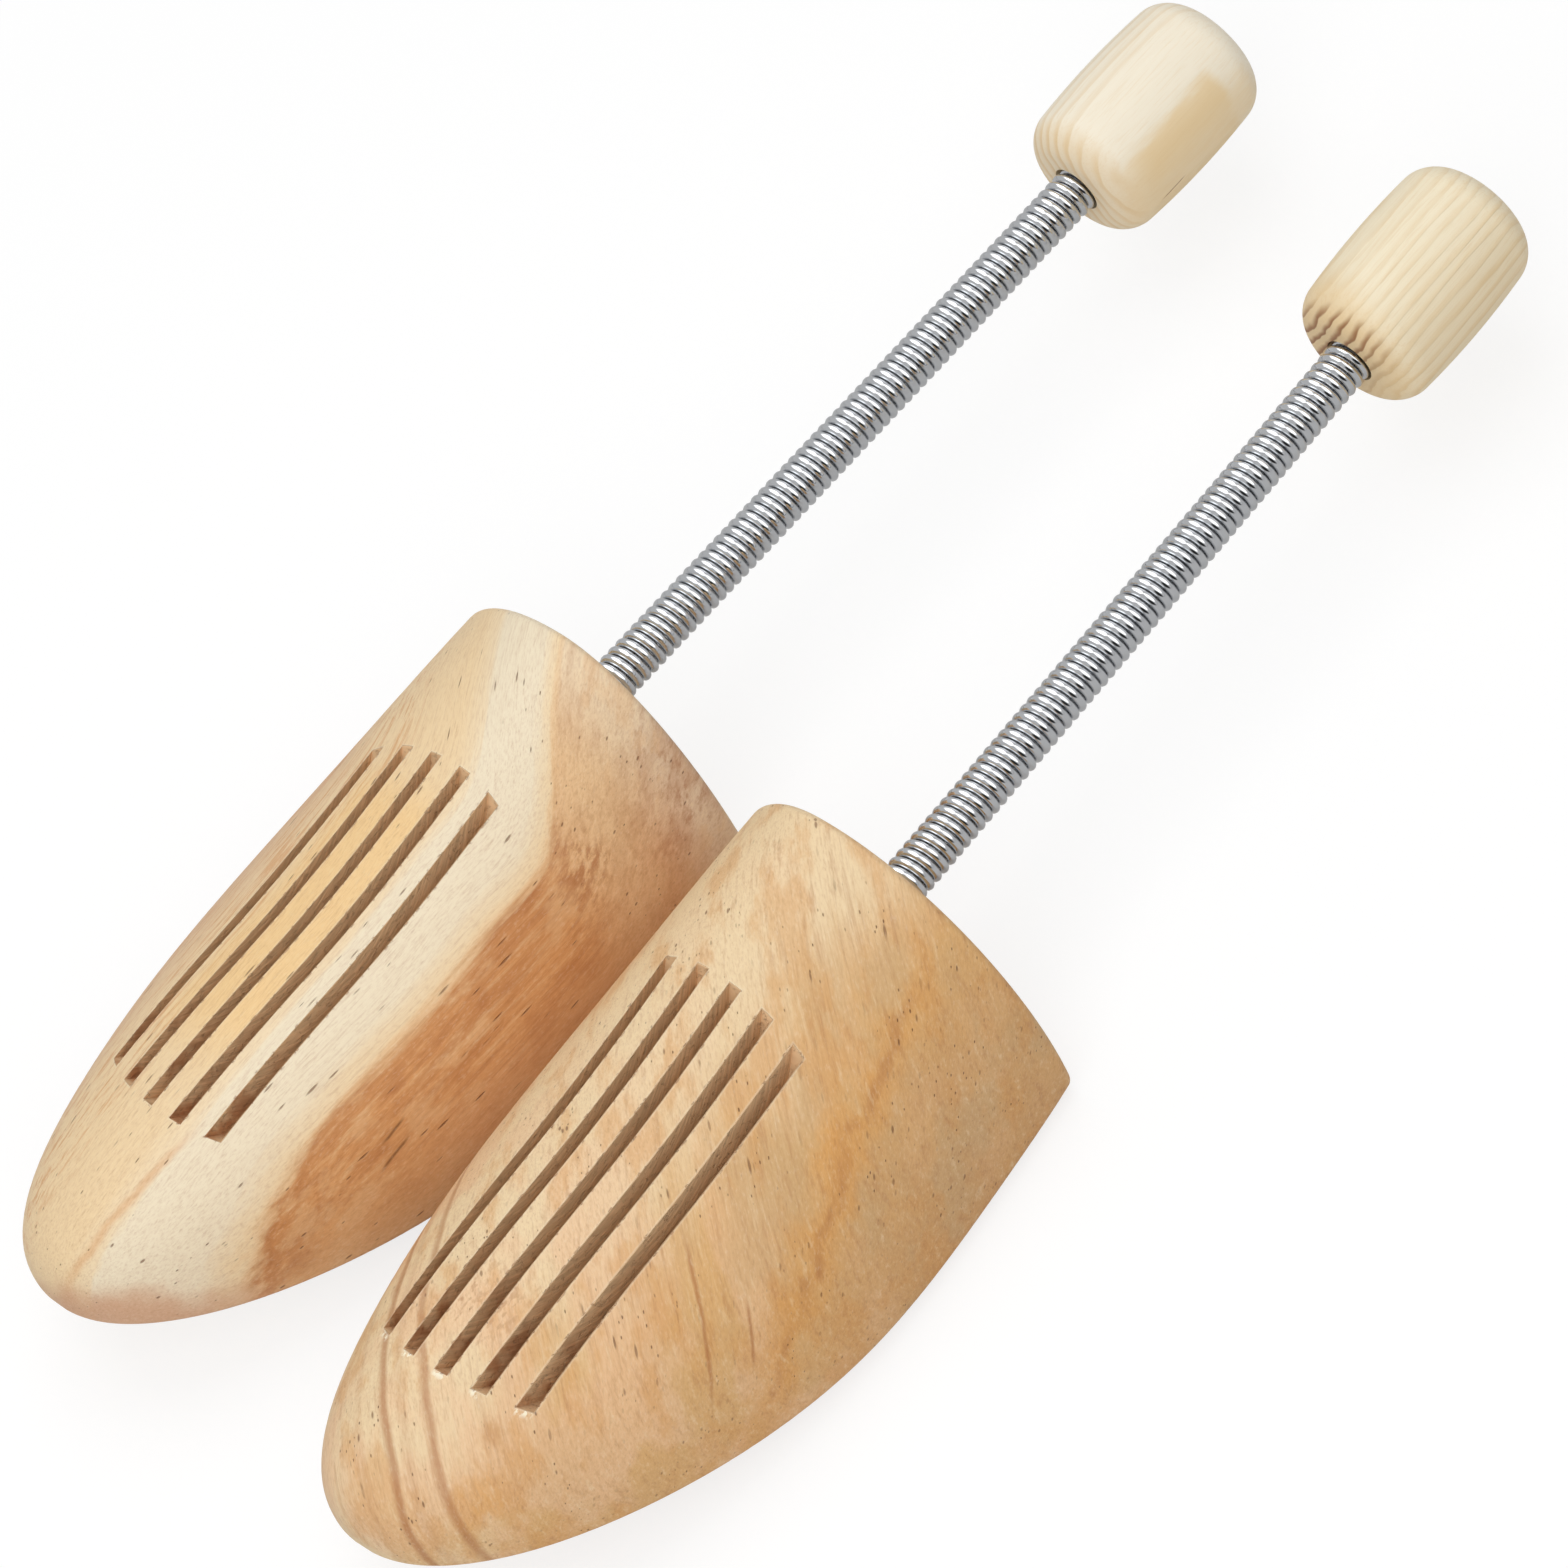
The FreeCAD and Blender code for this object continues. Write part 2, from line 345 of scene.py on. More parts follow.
class SlotMarks:
    """Where a block's sawn slots are, for the material that needs it."""

    OUTERMOST = 2.0

    def __init__(self, finish, vector, tree, sizes):
        self.finish = finish
        self.vector = vector
        side = TreeFrame(tree).side
        parts = ("_middle", "_top", "_depth")
        middle, top, depth = (getattr(sizes, tree + part) for part in parts)
        inputs = {
            "Vector": vector,
            "Location": (side * sizes.offset / MM, middle / MM, top / MM),
            "Rotation": (sizes.slope, side * sizes.lean, 0),
        }
        placed = finish.add("ShaderNodeMapping", inputs, vector_type="TEXTURE").outputs[0]
        x, self.along, z = finish.split(placed)
        rise = finish.calc("SUBTRACT", z, (sizes.saw_radius - depth) / MM)
        squares = finish.plus(finish.times(self.along, self.along), finish.times(rise, rise))
        self.reach = finish.calc("SQRT", squares)
        self.turn = finish.calc("ARCTAN2", self.along, rise)
        pitch = sizes.pitch / MM
        nearest = finish.calc("ROUND", finish.calc("DIVIDE", x, pitch))
        nearest = finish.calc("MAXIMUM", nearest, -self.OUTERMOST)
        self.index = finish.calc("MINIMUM", nearest, self.OUTERMOST)
        aside = finish.calc("SUBTRACT", x, finish.times(self.index, pitch))
        aside = finish.calc("ABSOLUTE", aside)
        self.aside = finish.calc("SUBTRACT", aside, sizes.width / MM / 2)
        self.beyond = finish.calc("SUBTRACT", self.reach, sizes.saw_radius / MM)
        self.outside = finish.calc("MAXIMUM", self.aside, self.beyond)

    def walls(self):
        """1 on the walls and floors of the slots, 0 on the outside of the block."""
        return self.finish.rest(self.finish.ease(self.outside, 0.03, 0.15))

    def rim(self, reach):
        """1 at the edge of a slot, falling to 0 this far outside it."""
        return self.finish.rest(self.finish.ease(self.outside, 0.0, reach))

    def low_end(self):
        """1 just past the toe end of a slot, where the blades broke out."""
        finish = self.finish
        past = finish.ease(self.beyond, -0.2, 0.2)
        past = finish.times(past, finish.rest(finish.ease(self.beyond, 0.5, 1.5)))
        inside = finish.rest(finish.ease(self.aside, -0.5, 0.4))
        return finish.times(past, inside, finish.calc("LESS_THAN", self.along, 0.0))

    def saw_lines(self):
        """Arcs that the teeth left on the walls."""
        finish = self.finish
        arcs = finish.join(
            finish.times(self.reach, 1.7), finish.times(self.turn, 4.0), self.index)
        return finish.noise(arcs, 3.0, 0.7)

    def wall_colour(self, saw, wood):
        """Sawn wood with the saw's lines in it, scorched towards the toe."""
        finish = self.finish
        sawn = finish.mix(finish.ease(saw, 0.35, 0.7), shade(wood.sawn, 0.75), wood.sawn)
        toe_end = finish.rest(finish.ease(self.along, -34.0, -14.0))
        scorch = finish.noise(finish.stretch(self.vector, 6, 5, 6), 3.0)
        return finish.lay(sawn, wood.deep, toe_end, finish.ease(scorch, 0.42, 0.62), 0.7)


class BlockWood(bpy.types.PropertyGroup):
    """Colours of the two toe blocks."""

    cream: colour(242, 227, 198, "Cream", "Pale sapwood of the right block")
    straw: colour(242, 214, 170, "Straw", "Yellow sapwood of the right block")
    amber: colour(246, 206, 144, "Amber", "Warm wood between the slots of the right block")
    heart: colour(220, 161, 105, "Heartwood", "Orange-brown heartwood of the right block")
    deep: colour(172, 106, 60, "Deep Heartwood", "Dark streaks in the heartwood")
    # Rose is also painted shade on the lower rim of the right block's toe.
    rose: colour(212, 162, 126, "Rose", "Pinkish outer flank of the right block")
    blond: colour(238, 212, 170, "Blond", "Pale wood on top of the left block")
    honey: colour(220, 174, 116, "Honey", "Golden wood on the flank of the left block")
    blush: colour(236, 194, 152, "Blush", "Pinkish clouds in the left block")
    ash: colour(204, 170, 124, "Ash", "Greyish clouds in the left block")
    gold: colour(222, 162, 90, "Gold", "Golden streaks in the left block")
    vein: colour(170, 108, 62, "Vein", "Brown growth lines")
    pore: colour(116, 72, 40, "Pore", "Vessel lines in the surface")
    sawn: colour(240, 200, 154, "Sawn Wall", "Walls of the sawn slots")
    # This pale colour is also the painted highlight along the slot rims.
    chip_and_highlight: colour(252, 240, 214, "Chip", "Fresh wood where a slot's edge has splintered")


class RightFigure:
    """Straw and cream sapwood, then a sharp edge and orange-brown heartwood on the outer flank."""

    CHIPPED = 0.0
    SWING_START, SWING_EASE, SWING_SLOPE = 106.0, 10.0, 0.62
    TOE_LINE = ((10.0, 34, 40), (4.0, 0, 27), (0.2, -0.5, 0.85), 1.3)
    CRACKS = (
        ((34.0, 49.5, 24.0), (34.2, 56.5, 25.5), (0.9, 0, 0.4), 0.45),
        ((33.0, 52.5, 27.5), (33.2, 58.0, 28.5), (0.9, 0, 0.4), 0.45),
    )

    def __init__(self, finish, vector, wood):
        self.finish, self.vector, self.wood = finish, vector, wood
        self.grain = self.swung_grain()
        across, self.y, z = finish.split(self.grain)
        streak = finish.sway(finish.stretch(self.grain, 1.1, 34, 2.5), 0.7, 4.0)
        self.bent = finish.plus(across, streak)
        self.fine = finish.noise(finish.stretch(self.grain, 0.9, 30, 1.4), 5.0, 0.7)
        self.heart = finish.ease(self.bent, 23.2, 25.0)
        # Painted light: the low heartwood flank, in shade next to the other block, is lifted
        # towards straw and its dark streaks calmed.
        low = finish.rest(finish.ease(z, 8, 30))
        self.painted_light_low_flank = finish.times(low, finish.ease(self.bent, 24, 30))
        inner = finish.rest(finish.ease(self.bent, 33, 44))
        self.back = finish.times(finish.ease(self.y, 98, 118), self.heart, inner)
        self.calm = finish.times(
            finish.rest(finish.times(self.back, 0.6)), finish.rest(finish.times(self.painted_light_low_flank, 0.9)))

    def swung_grain(self):
        """Grain that runs straight along the block and swings inwards near its back."""
        finish = self.finish
        x, y, z = finish.split(self.vector)
        past = finish.calc("SUBTRACT", y, self.SWING_START)
        swing = finish.calc("SMOOTH_MAX", past, 0.0, self.SWING_EASE)
        wave = finish.sway(finish.stretch(self.vector, 25, 40, 25), 0.7)
        return finish.join(finish.plus(finish.times(swing, self.SWING_SLOPE), x, wave), y, z)

    def colour(self):
        """The block's colour before its pores."""
        base = self.finish.bands(self.bent, self.stops())
        layers = (
            self.pale_back, self.streaks, self.blotches, self.sapwood, self.toe, self.cracks)
        for layer in layers:
            base = layer(base)
        return base

    def stops(self):
        """Colours from the inner flank to the outer one."""
        wood = self.wood
        return (
            (-40, between(wood.rose, wood.straw, 0.1)),
            (-28, between(wood.rose, wood.straw, 0.5)),
            (-17, wood.straw),
            (4, wood.straw),
            (8.6, between(wood.straw, wood.cream, 0.4)),
            (9.6, wood.cream),
            (20, wood.cream),
            (23.0, between(wood.cream, wood.straw, 0.8)),
            (24.0, between(wood.straw, wood.heart, 0.35)),
            (24.7, between(wood.heart, wood.deep, 0.30)),
            (27, wood.heart),
            (32, between(wood.heart, wood.deep, 0.10)),
            (38, between(wood.heart, wood.rose, 0.6)),
        )

    def pale_back(self, base):
        """Heartwood that pales towards the back of the block."""
        finish, wood = self.finish, self.wood
        base = finish.lay(base, between(wood.straw, wood.heart, 0.25), self.back, 0.85)
        return finish.lay(base, wood.cream, finish.ease(self.y, 119, 134), self.heart, 0.6)

    def streaks(self, base):
        """Dark and light streaks along the heartwood, calmer at the back and the bottom, where the
        low flank is lightened as painted light against the shade between the blocks.
        """
        finish, wood = self.finish, self.wood
        reach = finish.plus(finish.times(self.heart, self.calm, 0.45), 0.07)
        base = finish.lay(base, wood.deep, finish.ease(self.fine, 0.46, 0.68), reach)
        light = finish.rest(finish.ease(self.fine, 0.32, 0.48))
        base = finish.lay(base, wood.straw, light, self.heart, self.calm, 0.4)
        broad = finish.noise(finish.stretch(self.grain, 4, 60, 6), 3.0)
        broad = finish.ease(broad, 0.47, 0.66)
        base = finish.lay(base, wood.deep, broad, self.heart, self.calm, 0.35)
        # Painted light on the low flank that lies in shade by the other block.
        return finish.lay(base, between(wood.heart, wood.straw, 0.5), self.painted_light_low_flank, 0.6)

    def blotches(self, base):
        """Dark and pale blotches in the heartwood and one smudge near its back."""
        finish, wood = self.finish, self.wood
        blotch = finish.clouds(self.grain, (5, 16, 8), (3, 1, 6), 4.0, 0.6)
        dark = finish.ease(blotch, 0.52, 0.64)
        base = finish.lay(base, wood.deep, dark, self.heart, self.calm, 0.4)
        pale = finish.rest(finish.ease(blotch, 0.38, 0.48))
        base = finish.lay(base, between(wood.heart, wood.straw, 0.5), pale, self.heart, 0.4)
        smudge = finish.spot(self.vector, (27.0, 109, 34), 8.0)
        return finish.lay(base, wood.deep, smudge, finish.ease(self.fine, 0.40, 0.58), 0.6)

    def sapwood(self, base):
        """Streaks on the inner flank, and warm wood between the slots."""
        finish, wood = self.finish, self.wood
        inner = finish.rest(finish.ease(self.bent, -12, -3))
        base = finish.lay(base, wood.heart, inner, finish.ease(self.fine, 0.5, 0.62), 0.65)
        across = finish.times(
            finish.ease(self.bent, -16, -9), finish.rest(finish.ease(self.bent, 4, 8)))
        start = finish.ease(self.y, 38, 55)
        end = finish.rest(finish.ease(self.y, 95, 106))
        return finish.lay(base, wood.amber, across, start, end, 0.75)

    def toe(self, base):
        """A brown line down the toe, and painted shade in a rose tone along the toe's lower rim.
        """
        finish, wood = self.finish, self.wood
        base = finish.lay(base, wood.heart, finish.stroke(self.vector, *self.TOE_LINE), 0.5)
        # Painted shade: height runs up the camera's view, and the toe's rim lowest in that view is
        # darkened towards rose.
        height = finish.measure("DOT_PRODUCT", self.vector, (-0.42, 0.71, 0.56))
        height = finish.plus(height, finish.sway(finish.stretch(self.vector, 6, 6, 6), 1.5))
        low = finish.rest(finish.ease(height, 11.5, 17.5))
        return finish.lay(base, wood.rose, low, finish.rest(finish.ease(self.y, 20, 40)), 0.85)

    def cracks(self, base):
        """Short cracks in the outer flank."""
        finish = self.finish
        cracks = [finish.stroke(self.vector, *crack) for crack in self.CRACKS]
        outer = finish.ease(finish.split(self.vector)[0], 20, 24)
        return finish.lay(base, self.wood.pore, finish.plus(*cracks), outer, 0.8)

    def pores(self):
        """Long vessel lines and a few short ones."""
        finish = self.finish
        lines = finish.pores(self.grain, 1.5, 13, 0.6)
        return finish.calc("MAXIMUM", lines, finish.pores(self.grain, 0.9, 8, 0.12))


class LeftFigure:
    """Blond wood that turns honey towards the flank, clouded with pink and grey."""

    CHIPPED = 1.0
    ACROSS_RINGS, ALONG_GRAIN = (0.754, 0.599, 0.271), (-0.60, 0.65, 0.45)
    VEIN_FACING = (0.75, 0, 0.65)
    GOLDEN_VEINS = (
        ((22.8, 124, 40), (29, 88, 28.5)),
        ((27, 98, 32), (36, 56, 12)),
    )
    FINE_LINES = (
        ((19.3, 68, 38.4), (31.8, 50.7, 19.4), (0.8, 0.0, 0.6), 0.6),
        ((29, 67, 28), (33.5, 60, 20), (0.9, 0, 0.4), 0.5),
    )
    GROWTH_LINES = ((17.7, 1.0), (24.8, 0.85), (20.6, 0.25), (12.6, 0.2))

    def __init__(self, finish, vector, wood):
        self.finish, self.vector, self.wood = finish, vector, wood
        self.grain = finish.turned(vector, self.ACROSS_RINGS, self.ALONG_GRAIN)
        self.streak = finish.sway(finish.stretch(self.grain, 2.2, 22, 5), 3.0, 4.0)

    def colour(self):
        """The block's colour before its pores."""
        base = self.clouds()
        for layer in (self.golden_veins, self.toe, self.fibres, self.swirl, self.growth_lines):
            base = layer(base)
        return base

    def clouds(self):
        """Blond to honey, with pink clouds in front and grey ones behind."""
        finish, wood = self.finish, self.wood
        x, y, z = finish.split(self.vector)
        bent = finish.sway(finish.stretch(self.grain, 20, 30, 20), 6.0)
        bent = finish.plus(x, bent, self.streak)
        low = finish.rest(finish.ease(z, 4, 26))
        warm = finish.calc("MAXIMUM", finish.ease(bent, 2.0, 25.0), low)
        base = finish.mix(warm, wood.blond, wood.honey)
        flank = finish.times(finish.ease(bent, 24.0, 38.0), finish.ease(y, 60, 105))
        base = finish.lay(base, between(wood.honey, wood.vein, 0.4), flank, 0.6)
        pink = finish.clouds(self.grain, (12, 26, 12), (4, 9, 1))
        front = finish.plus(finish.times(finish.rest(finish.ease(y, 50, 95)), 0.5), 0.15)
        base = finish.lay(base, wood.blush, finish.ease(pink, 0.44, 0.60), front)
        grey = finish.clouds(self.grain, (9, 24, 14), (11, 3, 7))
        behind = finish.plus(finish.times(finish.ease(y, 55, 85), 0.4), 0.15)
        base = finish.lay(base, wood.ash, finish.ease(grey, 0.46, 0.62), warm, behind)
        gold = finish.clouds(self.grain, (7, 20, 10), (2, 5, 13), 4.0, 0.6)
        gold = finish.ease(gold, 0.48, 0.62)
        return finish.lay(base, between(wood.gold, wood.vein, 0.2), gold, 0.45)

    def golden_veins(self, base):
        """Broad golden veins along the flank, each with a broken brown core."""
        finish, wood = self.finish, self.wood
        broken = finish.ease(self.streak, -2.5, 2.0)
        for start, end in self.GOLDEN_VEINS:
            golden = finish.stroke(self.vector, start, end, self.VEIN_FACING, 6.0, 3.0)
            base = finish.lay(base, wood.gold, golden, 0.6)
            core = finish.stroke(self.vector, start, end, self.VEIN_FACING, 2.0, 3.0)
            base = finish.lay(base, wood.vein, core, broken, 0.45)
        return base

    def toe(self, base):
        """A small knot on the toe and a golden flame in front of it."""
        finish, wood = self.finish, self.wood
        knot = finish.spot(self.vector, (13.5, 24, 35), 3.4)
        base = finish.lay(base, between(wood.gold, wood.vein, 0.5), knot, 0.5)
        flame = finish.spot(self.vector, (16.0, 14.5, 29.5), 6.5)
        return finish.lay(base, wood.gold, flame, finish.ease(self.streak, -2.0, 1.5), 0.6)

    def fibres(self, base):
        """Fine dark and pale streaks along the grain."""
        finish, wood = self.finish, self.wood
        fine = finish.noise(finish.stretch(self.grain, 0.8, 14, 2.0), 5.0, 0.65)
        base = finish.lay(base, wood.vein, finish.ease(fine, 0.50, 0.70), 0.28)
        return finish.lay(base, wood.blond, finish.rest(finish.ease(fine, 0.30, 0.46)), 0.35)

    def swirl(self, base):
        """A patch of swirled grain in front of the slots."""
        finish = self.finish
        swirl = finish.noise(finish.stretch(self.vector, 1.2, 2.5, 1.2), 3.0)
        patch = finish.spot(self.vector, (1.0, 40, 40), 10.0)
        return finish.lay(base, self.wood.vein, finish.ease(swirl, 0.5, 0.6), patch, 0.4)

    def growth_lines(self, base):
        """Brown growth lines: two bold ones round the toe and a few faint ones further back."""
        finish = self.finish
        wave = finish.sway(finish.stretch(self.vector, 24, 24, 24), 1.0)
        across = finish.plus(finish.split(self.grain)[0], wave)
        lines = [finish.stroke(self.vector, *line) for line in self.FINE_LINES]
        for place, strength in self.GROWTH_LINES:
            past = finish.calc("SUBTRACT", across, place)
            before = finish.ease(past, -1.6, -0.2)
            after = finish.rest(finish.ease(past, 0.0, 0.9))
            lines.append(finish.times(before, after, strength))
        share = finish.calc("MINIMUM", finish.plus(*lines), 1.0)
        return finish.lay(base, self.wood.vein, share, 0.65)

    def pores(self):
        """Vessel lines and specks, crowded in patches."""
        finish = self.finish
        patches = finish.noise(finish.stretch(self.vector, 11, 11, 11), 3.0)
        patches = finish.ease(patches, 0.44, 0.60)
        lines = finish.pores(self.grain, 1.4, 10, 0.7, 0.14, 0.09)
        lines = finish.times(lines, finish.plus(finish.times(patches, 0.75), 0.25))
        specks = finish.pores(self.grain, 0.9, 2.6, 0.7, 0.12, 0.07)
        specks = finish.times(specks, finish.plus(patches, 0.1))
        return finish.calc("MAXIMUM", lines, specks)


FIGURES = {"left": LeftFigure, "right": RightFigure}


def block_finish(name, tree, sizes, wood):
    """The whole finish of one toe block, sawn walls included."""
    finish = new_finish(name)
    vector = finish.tree_space(TreeFrame(tree), 0, 0)
    figure = FIGURES[tree](finish, vector, wood)
    base = figure.colour()
    pores = figure.pores()
    fibre = finish.noise(finish.stretch(figure.grain, 0.3, 8, 0.3), 4.0, 0.65)
    base = finish.lay(base, wood.vein, finish.ease(fibre, 0.45, 0.75), 0.25)
    fuzz = finish.noise(finish.stretch(figure.grain, 0.4, 1.2, 0.4), 3.0, 0.6)
    base = finish.lay(base, wood.vein, finish.ease(fuzz, 0.48, 0.72), 0.13)
    base = finish.lay(base, wood.chip_and_highlight, finish.rest(finish.ease(fuzz, 0.28, 0.48)), 0.13)
    base = finish.lay(base, wood.pore, pores, 0.7)
    marks = SlotMarks(finish, vector, tree, sizes)
    saw = marks.saw_lines()
    walls = marks.walls()
    torn = finish.noise(finish.stretch(vector, 0.9, 1.4, 0.9), 3.0, 0.6)
    ends = finish.times(marks.low_end(), finish.ease(torn, 0.46, 0.54), figure.CHIPPED)
    # Real chips at the slots' toe ends, plus a painted highlight: a pale line along every slot
    # rim.
    chips_and_rim_highlight = finish.calc("MAXIMUM", ends, finish.times(marks.rim(0.5), 0.35))
    nicks = finish.times(marks.rim(0.45), finish.ease(torn, 0.58, 0.62))
    base = finish.mix(chips_and_rim_highlight, base, wood.chip_and_highlight)
    base = finish.lay(base, wood.vein, nicks, 0.8)
    base = finish.mix(walls, base, marks.wall_colour(saw, wood))
    raised = finish.plus(finish.times(fibre, 0.35), finish.times(fuzz, 0.25))
    relief = finish.calc("SUBTRACT", raised, pores)
    relief = finish.plus(relief, finish.times(saw, walls, 2.0), finish.times(nicks, -2.0))
    roughness = finish.plus(finish.times(walls, 0.3), finish.times(fibre, 0.2), 0.40)
    return finish.wood(base, relief, roughness, 0.12)


class SHOETREES_OT_blocks(bpy.types.Operator):
    """Finishes the wood of both toe blocks"""

    bl_idname = "shoetrees.blocks"
    bl_label = "Finish Toe Blocks"

    def execute(self, context):
        sizes, wood = context.scene.shoe_tree_slots, context.scene.shoe_tree_blocks
        for tree in TREES:
            finish = block_finish(tree + "_block_wood", tree, sizes, wood)
            dress(tree + "_toe_block", finish)
        return {"FINISHED"}


# Heel knobs

class KnobWood(bpy.types.PropertyGroup):
    """Colours and rings of the two heel knobs."""

    early: colour(248, 235, 206, "Early Wood", "Pale wood of a growth ring")
    late: colour(228, 194, 138, "Late Wood", "Tan wood of a growth ring")
    end: colour(146, 92, 54, "End Grain", "Dark ring marks where the ends cut across the grain")
    pale: colour(249, 239, 218, "Pale Wood", "Pale wood of the right knob")
    patch: colour(238, 208, 156, "Patch", "Tan flank of the right knob")
    left_pitch: length(2.1, "Left Ring Pitch", "Distance between the left knob's rings")
    right_pitch: length(2.6, "Right Ring Pitch", "Distance between the right knob's rings")


def knob_space(finish, tree):
    """Millimetres from the middle of a knob."""
    place = TreeFrame(tree)
    node = tree + "_heel_knob"
    middle = (place.along(node, True) + place.along(node, False)) / 2
    return finish.tree_space(place, middle, place.axis_height)


def ring_marks(finish, across, pitch):
    """Late wood of each ring: it deepens slowly and ends sharply."""
    turn = finish.calc("FRACT", finish.calc("DIVIDE", across, pitch))
    return finish.times(finish.ease(turn, 0.35, 0.85), finish.rest(finish.ease(turn, 0.88, 1.0)))


def knob_fibre(finish, grain):
    """Fine fibre along a knob."""
    return finish.noise(finish.stretch(grain, 0.35, 10, 0.35), 4.0, 0.65)


def knob_surface(finish, base, relief, fibre):
    """Closes a knob's finish with its shallow relief and its satin gloss."""
    roughness = finish.plus(finish.times(fibre, 0.2), 0.42)
    return finish.wood(base, relief, roughness, 0.06)


def left_knob_finish(name, wood):
    """Pale striped softwood, with dark ring marks where its near end cuts the grain."""
    finish = new_finish(name)
    vector = knob_space(finish, "left")
    grain = finish.turned(vector, (0.81, 0, -0.585), (0, 1, 0.02))
    drift = finish.sway(finish.stretch(grain, 6, 34, 6), 0.7)
    across = finish.plus(finish.split(grain)[0], drift)
    late = ring_marks(finish, across, wood.left_pitch / MM)
    uneven = finish.noise(finish.stretch(grain, 2.6, 12, 8), 2.0)
    tanned = finish.ease(across, -6, 13)
    depth = finish.plus(finish.times(tanned, 0.25), finish.times(uneven, 0.7), -0.08)
    base = finish.lay(wood.early, wood.late, late, depth)
    base = finish.lay(base, wood.late, tanned, 0.3)
    fibre = knob_fibre(finish, grain)
    base = finish.lay(base, wood.late, finish.ease(fibre, 0.45, 0.75), 0.3)
    y = finish.split(vector)[1]
    near = finish.rest(finish.ease(y, -18.0, -15.4))
    base = finish.lay(base, wood.late, near, 0.35)
    rim = finish.rest(finish.ease(finish.plus(y, finish.times(across, 0.4)), -20, -12))
    base = finish.lay(base, wood.late, rim, 0.5)
    inner = finish.rest(finish.ease(across, -2.0, 9.0))
    base = finish.lay(base, wood.end, late, near, inner, 0.85)
    relief = finish.plus(finish.times(fibre, 0.4), late)
    return knob_surface(finish, base, relief, fibre)


def right_knob_finish(name, wood):
    """Paler softwood with faint lines, a smooth tan flank and one short check."""
    finish = new_finish(name)
    vector = knob_space(finish, "right")
    grain = finish.turned(vector, (0.91, 0, 0.42), (0, 1, 0))
    drift = finish.sway(finish.stretch(grain, 8, 26, 8), 0.8)
    across = finish.plus(finish.split(grain)[0], drift)
    late = ring_marks(finish, across, wood.right_pitch / MM)
    lined = finish.rest(finish.ease(across, 3.0, 8.0))
    base = finish.lay(wood.pale, wood.late, late, lined, 0.3)
    fibre = knob_fibre(finish, grain)
    x, y, z = finish.split(vector)
    ragged = finish.sway(finish.stretch(vector, 1.5, 6, 1.5), 0.7, 4.0)
    flank = finish.plus(finish.times(x, 0.95), finish.times(z, -0.12), ragged)
    base = finish.lay(base, wood.patch, finish.ease(flank, 9.0, 13.0), 0.55)
    edge = finish.times(finish.ease(flank, 7.4, 9.8), finish.rest(finish.ease(flank, 11.0, 14.0)))
    far_end = finish.rest(finish.ease(finish.plus(y, ragged), 8.0, 10.5))
    ends = finish.times(finish.ease(y, -20.0, -8.0), far_end)
    base = finish.lay(base, wood.patch, edge, ends, 0.75)
    base = finish.lay(base, wood.late, finish.ease(fibre, 0.45, 0.75), 0.22)
    check = finish.stroke(vector, (13.2, -10.8, -3.4), (13.4, -5.0, -2.8), (1, 0, -0.2), 0.25)
    check = finish.times(check, finish.ease(x, 0.0, 2.0))
    base = finish.lay(base, wood.end, check, 0.9)
    near = finish.rest(finish.ease(y, -17.5, -13.0))
    base = finish.lay(base, wood.late, near, finish.plus(finish.times(late, 0.3), 0.35))
    raised = finish.plus(finish.times(late, 0.5), finish.times(fibre, 0.4))
    relief = finish.calc("SUBTRACT", raised, check)
    return knob_surface(finish, base, relief, fibre)


class SHOETREES_OT_knobs(bpy.types.Operator):
    """Finishes the wood of both heel knobs"""

    bl_idname = "shoetrees.knobs"
    bl_label = "Finish Heel Knobs"

    def execute(self, context):
        wood = context.scene.shoe_tree_knobs
        dress("left_heel_knob", left_knob_finish("left_knob_wood", wood))
        dress("right_heel_knob", right_knob_finish("right_knob_wood", wood))
        return {"FINISHED"}


# Springs, pegs and nails

class SpringSizes(bpy.types.PropertyGroup):
    """Sizes of the wound springs, and the steel of springs and nails."""

    wire: length(1.8, "Wire", "Diameter of the wire")
    coil: length(8.5, "Coil", "Outside diameter of the coil")
    pitch: length(1.95, "Pitch", "Advance of one turn, a little over the wire's diameter")
    sides: IntProperty(name="Sides", description="Faces round the wire", default=14, min=6)
    steps: IntProperty(name="Steps", description="Faces round one turn", default=32, min=12)
    steel: colour(212, 214, 217, "Steel", "Bright plating of the wire")
    nail: colour(150, 152, 156, "Nail", "Plain steel of the nails")
    polish: number(0.06, "Polish", "Roughness of the wire")
    nail_polish: number(0.3, "Nail Polish", "Roughness of the nails")


def peg_finish(name, wood):
    """Plain dowel wood with fine straight fibre."""
    finish = new_finish(name)
    vector = finish.tree_space(TreeFrame("left"), 0, 0)
    fibre = finish.noise(finish.stretch(vector, 0.3, 6, 0.3), 3.0, 0.6)
    base = finish.mix(fibre, wood.early, wood.late)
    return finish.wood(base, fibre, finish.calc("MULTIPLY_ADD", fibre, 0.2, 0.5), 0.05)


def steel_finish(name, steel, rough):
    """Drawn wire, with faint changes in polish."""
    finish = new_finish(name)
    coordinates = finish.add("ShaderNodeTexCoord", {}).outputs["Object"]
    cloud = finish.noise(finish.stretch(coordinates, 3 * MM, 3 * MM, 3 * MM))
    shader = finish.add("ShaderNodeBsdfPrincipled", {
        "Base Color": (*steel, 1), "Metallic": 1.0,
        "Roughness": finish.calc("MULTIPLY_ADD", cloud, 0.06, rough)})
    return finish.close(shader)


